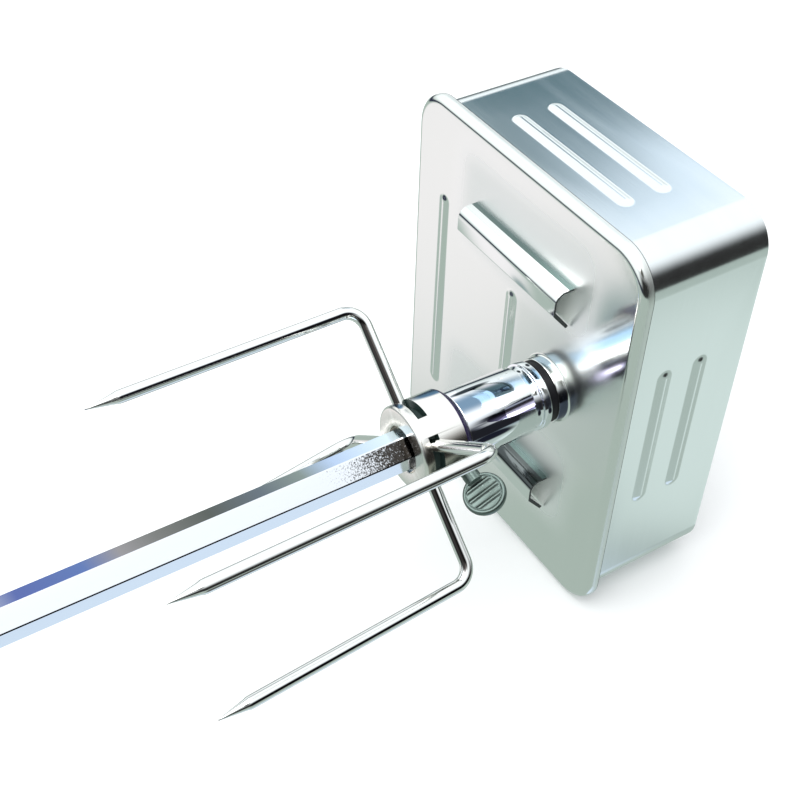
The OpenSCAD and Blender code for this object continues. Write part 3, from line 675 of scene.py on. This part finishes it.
def build_neck():
    """The drawn steel ring round the collar, with a small fillet where it leaves the cover."""
    inner, outer, reach = 11.5 * MM, 12.3 * MM, 3.9 * MM
    f, b = 0.9 * MM, 0.3 * MM
    profile = [(SHEET / 2, inner), (-reach + b, inner), (-reach, inner + b * 0.6), (-reach, outer - b * 0.6),
               (-reach + b, outer)]
    profile += [(-f + f * math.sin(math.radians(a)), outer + f - f * math.cos(math.radians(a)))
                for a in (0, 22, 45, 68, 90)]
    profile.append((SHEET / 2, outer + f))
    neck = finish_mesh(lathe("collar_neck", profile, segments=128), sharp=50)
    dress(neck, "housing", "cover_steel", "front_cover", mat=NECK_MAT)


def hex_tube(name, y0, y1, flats):
    corner_r = flats / 2 / math.cos(math.radians(30))
    ring = arc(SPIT_X, SPIT_Z, corner_r, HEX_CORNER, HEX_CORNER + 300, 5)
    verts, faces = loft([[(a, y, b) for a, b in ring] for y in (y0, y1)])
    return finish_mesh(new_object(name, verts, faces))


def build_bushing():
    r = (hi("spit_bushing").x - lo("spit_bushing").x) / 2
    front, back = lo("spit_bushing").y, hi("spit_bushing").y
    floor_r = r - 1.1 * MM
    e, g = 0.6 * MM, 0.35 * MM
    lip0, lip1 = -14 * MM, -10.4 * MM
    profile = ([(front, PILOT_R)] + arc(front + e, r - e, e, 180, 90, 5)
               + [(lip0 - g, r), (lip0 - g * 0.3, r - g * 0.3), (lip0, r - g), (lip0, floor_r + g),
                  (lip0 + g * 0.3, floor_r + g * 0.3), (lip0 + g, floor_r), (lip1 - g, floor_r),
                  (lip1 - g * 0.3, floor_r + g * 0.3), (lip1, floor_r + g), (lip1, r - g),
                  (lip1 + g * 0.3, r - g * 0.3), (lip1 + g, r)]
               + arc(back - e, r - e, e, 90, 0, 5) + [(back, PILOT_R)])
    bushing = finish_mesh(lathe("bushing_sleeve", profile, segments=160), sharp=50)
    subtract(bushing, hex_tube("hex", front - MM, back + MM, HEX_HOLE_AF))

    turn, lean = 39, math.radians(4.7)
    flute_r, depth, length = 3.2 * MM, 1.7 * MM, 25 * MM
    out, side = facing(turn), facing(turn + 90)
    way = (Vector((0, -math.cos(lean), 0)) + out * math.sin(lean)).normalized()
    lift = side.cross(way).normalized()
    base = Vector((SPIT_X, -13 * MM, SPIT_Z)) + out * (r + flute_r - depth)
    rings = [[tuple(base + way * reach + side * (flute_r * c) + lift * (flute_r * s)) for c, s in circle(64)]
             for reach in (0, length / 2, length)]
    verts, faces = loft(rings)
    subtract(bushing, finish_mesh(new_object("flute", verts, faces)))
    bevel(bushing, 0.12 * MM, angle=30)
    finish_mesh(bushing, sharp=40)
    dress(bushing, "spit", "chrome_bushing", "spit_bushing", mat=BUSHING_MAT)

    # The flute's edge gets the painted shade and its floor the painted reflection.
    def choose(centre, normal):
        offset = Vector((centre.x - SPIT_X, 0, centre.z - SPIT_Z))
        in_flute = (offset.length >= 8 * MM and -34 * MM < centre.y < -13.6 * MM
                    and offset.angle(out) <= math.radians(24))
        if in_flute and offset.length < r - 0.5 * MM:
            return 2
        return int(in_flute and offset.length < r - 0.12 * MM)

    paint(bushing, [FLUTE_EDGE_PAINTED_SHADE, FLUTE_FLOOR_PAINTED_REFLECTION], choose)


def build_rod():
    front, back = lo("spit_rod").y, hi("spit_rod").y
    point, blunt_r, soft = 22 * MM, 0.6 * MM, 0.1575 * MM
    apothem = ROD_AF / 2
    full = apothem / math.cos(math.radians(30))
    turns = [60 * i + d for i in range(6) for d in (-4.5, -2.2, 0, 2.2, 4.5, 15, 25, 30, 35, 45)]
    stations = ([(front + point * i / 14, blunt_r + (full - blunt_r) * i / 14) for i in range(15)]
                + [(front + point + 8 * MM, full), (-70 * MM, full), (0, full), (back - MM, full),
                   (back, full - MM)])
    rings = [[(SPIT_X, front, SPIT_Z)]]
    for y, limit in stations:
        ring = []
        for turn in turns:
            flat_r = apothem / math.cos(math.radians(turn % 60 - 30))
            spoke = facing(HEX_CORNER + turn) * min(flat_r, limit, full - soft)
            ring.append((SPIT_X + spoke.x, y, SPIT_Z + spoke.z))
        rings.append(ring)
    verts, faces = loft(rings)
    rod = finish_mesh(new_object("spit_bar", verts, faces), sharp=24)
    dress(rod, "spit", "rod_steel", "spit_rod", mat=rod_finish())


def rod_finish():
    """Bright bar with painted reflections: a dark upper flat that turns blue along it and a dark line along
    one corner, and dark speckles on one flat by the fork.
    """
    mat = variant("rod_steel", "rod_steel_painted_reflections")
    tree = mat.node_tree
    coords = add_node(tree, "TexCoord").outputs
    y = add_node(tree, "SeparateXYZ", {"Vector": coords["Object"]}).outputs["Y"]
    # Painted reflection on the upper flat: a colour ramp along the rod, from pale through dark to blue.
    colours = add_node(tree, "ValToRGB", {"Fac": ramp(tree, y, -0.060, -0.210, "LINEAR")})
    stops = [(0.03, (0.78, 0.90, 0.98)), (0.18, (0.48, 0.60, 0.82)), (0.26, (0.22, 0.27, 0.25)),
             (0.36, (0.11, 0.14, 0.17)), (0.48, (0.08, 0.09, 0.08)), (0.60, (0.18, 0.18, 0.17)),
             (0.68, (0.30, 0.28, 0.29)), (0.76, (0.10, 0.17, 0.42)), (0.90, (0.09, 0.13, 0.38)),
             (1.0, (0.55, 0.57, 0.62))]
    for _ in range(len(stops) - 2):
        colours.color_ramp.elements.new(0.5)
    for element, (at, colour) in zip(colours.color_ramp.elements, stops):
        element.position = at
        element.color = (*colour, 1)
    shade_by_normal(mat, facing(UPPER_FLAT), 12, 18, colours.outputs["Color"], rides=True)

    # Dark speckles on one flat by the fork, fading out along the rod.
    grain = add_node(tree, "TexNoise", {"Vector": coords["Object"], "Scale": 1900, "Detail": 4})
    level = multiply_add(tree, ramp(tree, y, -0.096, -0.066, "LINEAR"), 0.48, grain.outputs["Fac"])
    on_flat = ramp(tree, cosine(tree, coords["Normal"], facing(SPECKLED_FLAT)), 0.95, 0.97, "LINEAR")
    speckles = product(tree, ramp(tree, level, 0.70, 0.90, "LINEAR"), on_flat)
    layer(mat, "Base Color", speckles, (0.05, 0.045, 0.04))
    # Painted shade: a dark line along one corner of the bar.
    shade_by_normal(mat, facing(HEX_CORNER), 7, 12, (0.03, 0.03, 0.04), rides=True)
    return mat


# ---- fork ----

def build_hub():
    r = (hi("fork_hub").x - lo("fork_hub").x) / 2
    front, back = lo("fork_hub").y, hi("fork_hub").y
    chamfer_l, chamfer_d = 2.1 * MM, 1.9 * MM
    shoulder = back - chamfer_l
    recess_r, recess_l = 8.5 * MM, 3 * MM
    e, b = 1.3 * MM, 0.25 * MM
    profile = ([(back, PILOT_R), (front + recess_l, PILOT_R), (front + recess_l, recess_r),
                (front + b, recess_r), (front, recess_r + b)]
               + arc(front + e, r - e, e, 180, 90, 7)
               + [(shoulder - 0.6 * MM, r), (shoulder - b, r), (shoulder + b, r - b),
                  (back - b, r - chamfer_d + b * 0.4), (back, r - chamfer_d - b)])
    hub = finish_mesh(lathe("hub_collar", profile, segments=160), sharp=50)
    subtract(hub, hex_tube("hex", front - MM, back + MM, HEX_HOLE_AF))

    before, span, steps = 62, 75, 16
    floor_r, half = r - 3.2 * MM, 1.9 * MM
    for angle, *_ in TINES.values():
        rings = []
        for k in range(steps + 1):
            spoke = facing(angle - before + span * k / steps)
            rings.append([(SPIT_X + spoke.x * q, TINE_Y + w, SPIT_Z + spoke.z * q)
                          for q, w in ((floor_r, -half), (r + MM, -half), (r + MM, half), (floor_r, half))])
        verts, faces = loft(rings)
        subtract(hub, finish_mesh(new_object("slot", verts, faces)))
    bevel(hub, 0.18 * MM, angle=34)
    finish_mesh(hub, sharp=40)
    dress(hub, "fork", "hub_nickel", "fork_hub", mat=HUB_MAT)

    # The slots' inner faces get the painted shade, and the back shoulder, where the hub meets the bushing,
    # the joint shade.
    def choose(centre, normal):
        reach = math.hypot(centre.x - SPIT_X, centre.z - SPIT_Z)
        if centre.y > shoulder - 0.55 * MM and reach > 12 * MM:
            return 2
        return int(abs(centre.y - TINE_Y) < 2 * MM and recess_r < reach < r - 0.25 * MM)

    paint(hub, [SLOT_PAINTED_SHADE, JOINT_SHADE], choose)


def build_tine(node, mat):
    """A wire that leaves the hub, bends forward along the spit and ends in a point."""
    angle, reach, lean, side, length = TINES[node]
    side, bend = math.radians(side), math.radians(90 - lean)
    out = facing(angle)
    ahead = (Vector((0, -1, 0)) * math.cos(side) + facing(angle + 90) * math.sin(side)).normalized()
    normal = out.cross(ahead).normalized()
    tangent = TINE_BEND_R * math.tan(bend / 2)
    leg = reach * MM - tangent
    shaft = length * MM - tangent
    point = 12 * MM

    path = [(9.5 * MM, 0, 1, 0), (leg * 0.5, 0, 1, 0), (leg - 0.2 * MM, 0, 1, 0)]
    for k in range(19):
        t = bend * k / 18
        path.append((leg + TINE_BEND_R * math.sin(t), TINE_BEND_R * (1 - math.cos(t)), 1, t))
    x0, y0 = path[-1][:2]
    stops = [(0.3 * MM, 1), (shaft * 0.4, 1), (shaft - point - 2 * MM, 1)]
    for u in [k / 10 for k in range(11)]:
        stops.append((shaft - point + point * u * 0.985, 1 - 0.89 * (u if u >= 0.2 else u * u / 0.4)))
    stops.append((shaft - 0.05 * MM, 0.06))
    path += [(x0 + s * math.cos(bend), y0 + s * math.sin(bend), scale, bend) for s, scale in stops]

    base = Vector((SPIT_X, TINE_Y, SPIT_Z))
    rings = []
    for x, y, scale, t in path:
        centre = base + out * x + ahead * y
        across = normal.cross(out * math.cos(t) + ahead * math.sin(t)).normalized()
        rings.append([tuple(centre + (normal * c + across * s) * (TINE_R * scale)) for c, s in circle(32)])
    rings.append([tuple(base + out * (x0 + shaft * math.cos(bend)) + ahead * (y0 + shaft * math.sin(bend)))])
    verts, faces = loft(rings)
    wire = finish_mesh(new_object(node + "_wire", verts, faces), sharp=50)
    dress(wire, "fork", "tine_wire", node, mat=mat)


# ---- thumb screw ----

def build_thumb_screw():
    """A disc head with grip ridges on both faces, tilted on a threaded stem."""
    turn, tilt = -9.7, math.radians(28)
    along = facing(turn)
    face = (facing(turn + 90) * math.cos(tilt) + Vector((0, -1, 0)) * math.sin(tilt)).normalized()
    cross = face.cross(along).normalized()
    base = Vector((SPIT_X, -46 * MM, SPIT_Z))
    reach = 28 * MM
    r, rim, half_t = 7.5 * MM, 0.7 * MM, 1.5 * MM
    sunk, pitch, height = 0.35 * MM, 3.4 * MM, 0.55 * MM
    steps = 30

    def head_point(a, b, c):
        return tuple(base + along * (reach + a) + cross * b + face * c)

    def rise(a, b):
        """Height of the head's face above its middle plane, with its ridges and raised rim."""
        q = math.hypot(a, b)
        edge = max(0.0, min(1.0, (r - 1.3 * MM - q) / (0.5 * MM)))
        lip = max(0.0, min(1.0, (q - (r - 1.5 * MM)) / (0.35 * MM)))
        wave = 0.5 + 0.5 * math.cos(2 * math.pi * a / pitch)
        return half_t - sunk * (1 - lip) + edge * height * wave ** 2.5

    def face_rings(sign):
        rings = [[head_point(0, 0, sign * rise(0, 0))]]
        for k in range(1, steps + 1):
            q = (r - rim) * k / steps
            rings.append([head_point(q * c, q * s, sign * rise(q * c, q * s)) for c, s in circle(96)])
        return rings

    def rim_ring(a):
        q = r - rim + rim * math.sin(a)
        return [head_point(q * c, q * s, half_t * math.cos(a)) for c, s in circle(96)]

    rim_rings = [rim_ring(math.pi * k / 8) for k in range(1, 8)]
    verts, faces = loft(face_rings(1) + rim_rings + face_rings(-1)[::-1])
    head = finish_mesh(new_object("thumb_screw_head", verts, faces), sharp=50)

    start, end, threaded = 6.4 * MM, reach - 5.2 * MM, 19 * MM
    lead, depth, full, chamfer = 1.0 * MM, 0.28 * MM, 3.0 * MM, 0.7 * MM
    slices = int((end - start) / (lead / 8))
    rings = []
    for k in range(slices + 1):
        s = start + (end - start) * k / slices
        ring = []
        for i, (c, d) in enumerate(circle(40)):
            phase = (s / lead - i / 40) % 1.0
            cut = depth * abs(2 * phase - 1) if s < threaded else 0.0
            q = full - cut - (chamfer if k == 0 else 0)
            ring.append(tuple(base + along * s + (cross * c + face * d) * q))
        rings.append(ring)
    verts, faces = loft(rings)
    stem = finish_mesh(new_object("thumb_screw_stem", verts, faces), sharp=60)
    for piece in (head, stem):
        dress(piece, "thumb_screw", "screw_zinc", "thumb_screw")


build_front_cover()
build_body_shell()
build_rail("upper_bracket_rail", "upper_rail", MATS["rail_steel"])
# The lower rail takes the copy with painted shade.
build_rail("lower_bracket_rail", "lower_rail", RAIL_PAINTED_SHADE)
build_collar()
build_neck()
build_bushing()
build_rod()
build_hub()
# Tines 1 and 2 take the copy with the darker painted reflections.
for tine_name in TINES:
    build_tine(tine_name, DARK_PAINTED_WIRE if tine_name in ("tine_1", "tine_2") else PALE_PAINTED_WIRE)
build_thumb_screw()


# ---- stage, light and camera ----

def add_floor():
    half = 6.0
    corners = [(-half, -half, FLOOR_Z), (half, -half, FLOOR_Z), (half, half, FLOOR_Z), (-half, half, FLOOR_Z)]
    floor = new_object("floor", corners, [(0, 1, 2, 3)])
    mat, tree = new_material("floor_white")
    shader = add_node(tree, "BsdfPrincipled", {
        "Base Color": (0.92, 0.93, 0.93), "Roughness": 0.9, "Specular IOR Level": 0.1})
    add_node(tree, "OutputMaterial", {"Surface": shader.outputs["BSDF"]})
    floor.data.materials.append(mat)
    floor.visible_glossy = False


def add_light(name, at, target, size, power, colour=(1, 1, 1)):
    data = bpy.data.lights.new(name, "AREA")
    data.shape = "RECTANGLE"
    data.size, data.size_y = size
    data.energy = power
    data.color = colour
    light = bpy.data.objects.new(name, data)
    light.location = at
    light.rotation_euler = (Vector(target) - Vector(at)).to_track_quat("-Z", "Y").to_euler()
    bpy.context.scene.collection.objects.link(light)
    light.visible_camera = False


def add_world():
    world = bpy.data.worlds.new("studio")
    bpy.context.scene.world = world
    world.use_nodes = True
    background = world.node_tree.nodes["Background"]
    background.inputs["Color"].default_value = (0.97, 0.985, 1.0, 1)
    background.inputs["Strength"].default_value = 1.0


# What the metal mirrors: a colour within (inner, outer) degrees of a direction
CARDS = [
    # front face: pale at the upper left, and a dark stripe inside the right edge
    ((-0.70, -0.50, -0.50), 2, 20, (1.06, 1.03, 1.06)),
    ((-0.52, -0.56, -0.645), 1.5, 5, (0.28, 0.38, 0.39)),
    # top: pale blue, with a dark slate window at the back left
    ((-0.58, 0.60, 0.55), 4, 9, (0.90, 1.06, 1.22)),
    ((-0.70, 0.55, 0.455), 5.5, 11, (0.08, 0.17, 0.21)),
    # right side
    ((0.47, 0.59, -0.65), 4, 12, (0.76, 0.88, 0.85)),
    ((0.38, 0.46, -0.80), 2, 6, (0.36, 0.43, 0.42)),
    # lower flat of the rod
    ((0.34, 0.20, -0.92), 14, 20, (0.78, 0.92, 1.06)),
    # dark room behind the camera
    ((0.61, -0.42, 0.67), 8, 20, (0.10, 0.10, 0.09)),
]


def add_reflections():
    """A dome that only mirror rays see: white above, grey-green below, dark between them and on the right."""
    radius, rows, columns = 3.0, 24, 48
    rings = [[(0, 0, radius)]]
    for k in range(1, rows):
        r, z = radius * math.sin(math.pi * k / rows), radius * math.cos(math.pi * k / rows)
        rings.append([(r * c, r * s, z) for c, s in circle(columns)])
    rings.append([(0, 0, -radius)])
    verts, faces = loft(rings)
    dome = new_object("mirror_dome", verts, faces)

    mat, tree = new_material("mirror_dome")
    spot = add_node(tree, "TexCoord").outputs["Object"]
    way = add_node(tree, "VectorMath", {0: spot}, operation="NORMALIZE").outputs["Vector"]
    split = add_node(tree, "SeparateXYZ", {"Vector": way}).outputs
    x, z = split["X"], split["Z"]
    tone = blend(tree, ramp(tree, z, -0.2, 0.3), (0.47, 0.56, 0.52), (1.22, 1.28, 1.32))
    line = product(tree, ramp(tree, z, 0.02, -0.08), ramp(tree, z, -0.24, -0.19))
    tone = blend(tree, line, tone, (0.03, 0.035, 0.07))
    side = product(tree, ramp(tree, z, 0.80, 0.26), ramp(tree, z, -0.25, -0.20))
    tone = blend(tree, product(tree, side, ramp(tree, x, 0.2, 0.7)), tone, (0.03, 0.03, 0.03))
    for direction, inner, outer, shade in CARDS:
        tone = blend(tree, near(tree, way, direction, inner, outer), tone, shade)
    emission = add_node(tree, "Emission", {"Color": tone})
    add_node(tree, "OutputMaterial", {"Surface": emission.outputs["Emission"]})
    mat.cycles.emission_sampling = "NONE"
    dome.data.materials.append(mat)
    for rays in ("camera", "diffuse", "shadow", "volume_scatter"):
        setattr(dome, "visible_" + rays, False)


def add_camera():
    """Looks down at the unit from the spit's side, rolled a little."""
    place_at = Vector((0.28620, -0.23420, 0.32173))
    forward = Vector((-0.61003, 0.39899, -0.68460)).normalized()
    roll = math.radians(1.84)
    level = forward.cross(Vector((0, 0, 1))).normalized()
    upright = level.cross(forward)
    right = level * math.cos(roll) + upright * math.sin(roll)
    up = upright * math.cos(roll) - level * math.sin(roll)
    data = bpy.data.cameras.new("camera")
    data.lens = 59.55
    data.sensor_width = 36
    data.sensor_fit = "HORIZONTAL"
    data.clip_start = 0.01
    camera = bpy.data.objects.new("camera", data)
    camera.matrix_world = Matrix.Translation(place_at) @ Matrix((right, up, -forward)).transposed().to_4x4()
    bpy.context.scene.collection.objects.link(camera)
    bpy.context.scene.camera = camera


add_floor()
add_world()
add_reflections()
add_light("key_soft", (0.1, -0.6, 1.3), (0, 0, 0), (1.6, 1.2), 16)
add_camera()
bpy.context.scene.view_settings.view_transform = "Standard"
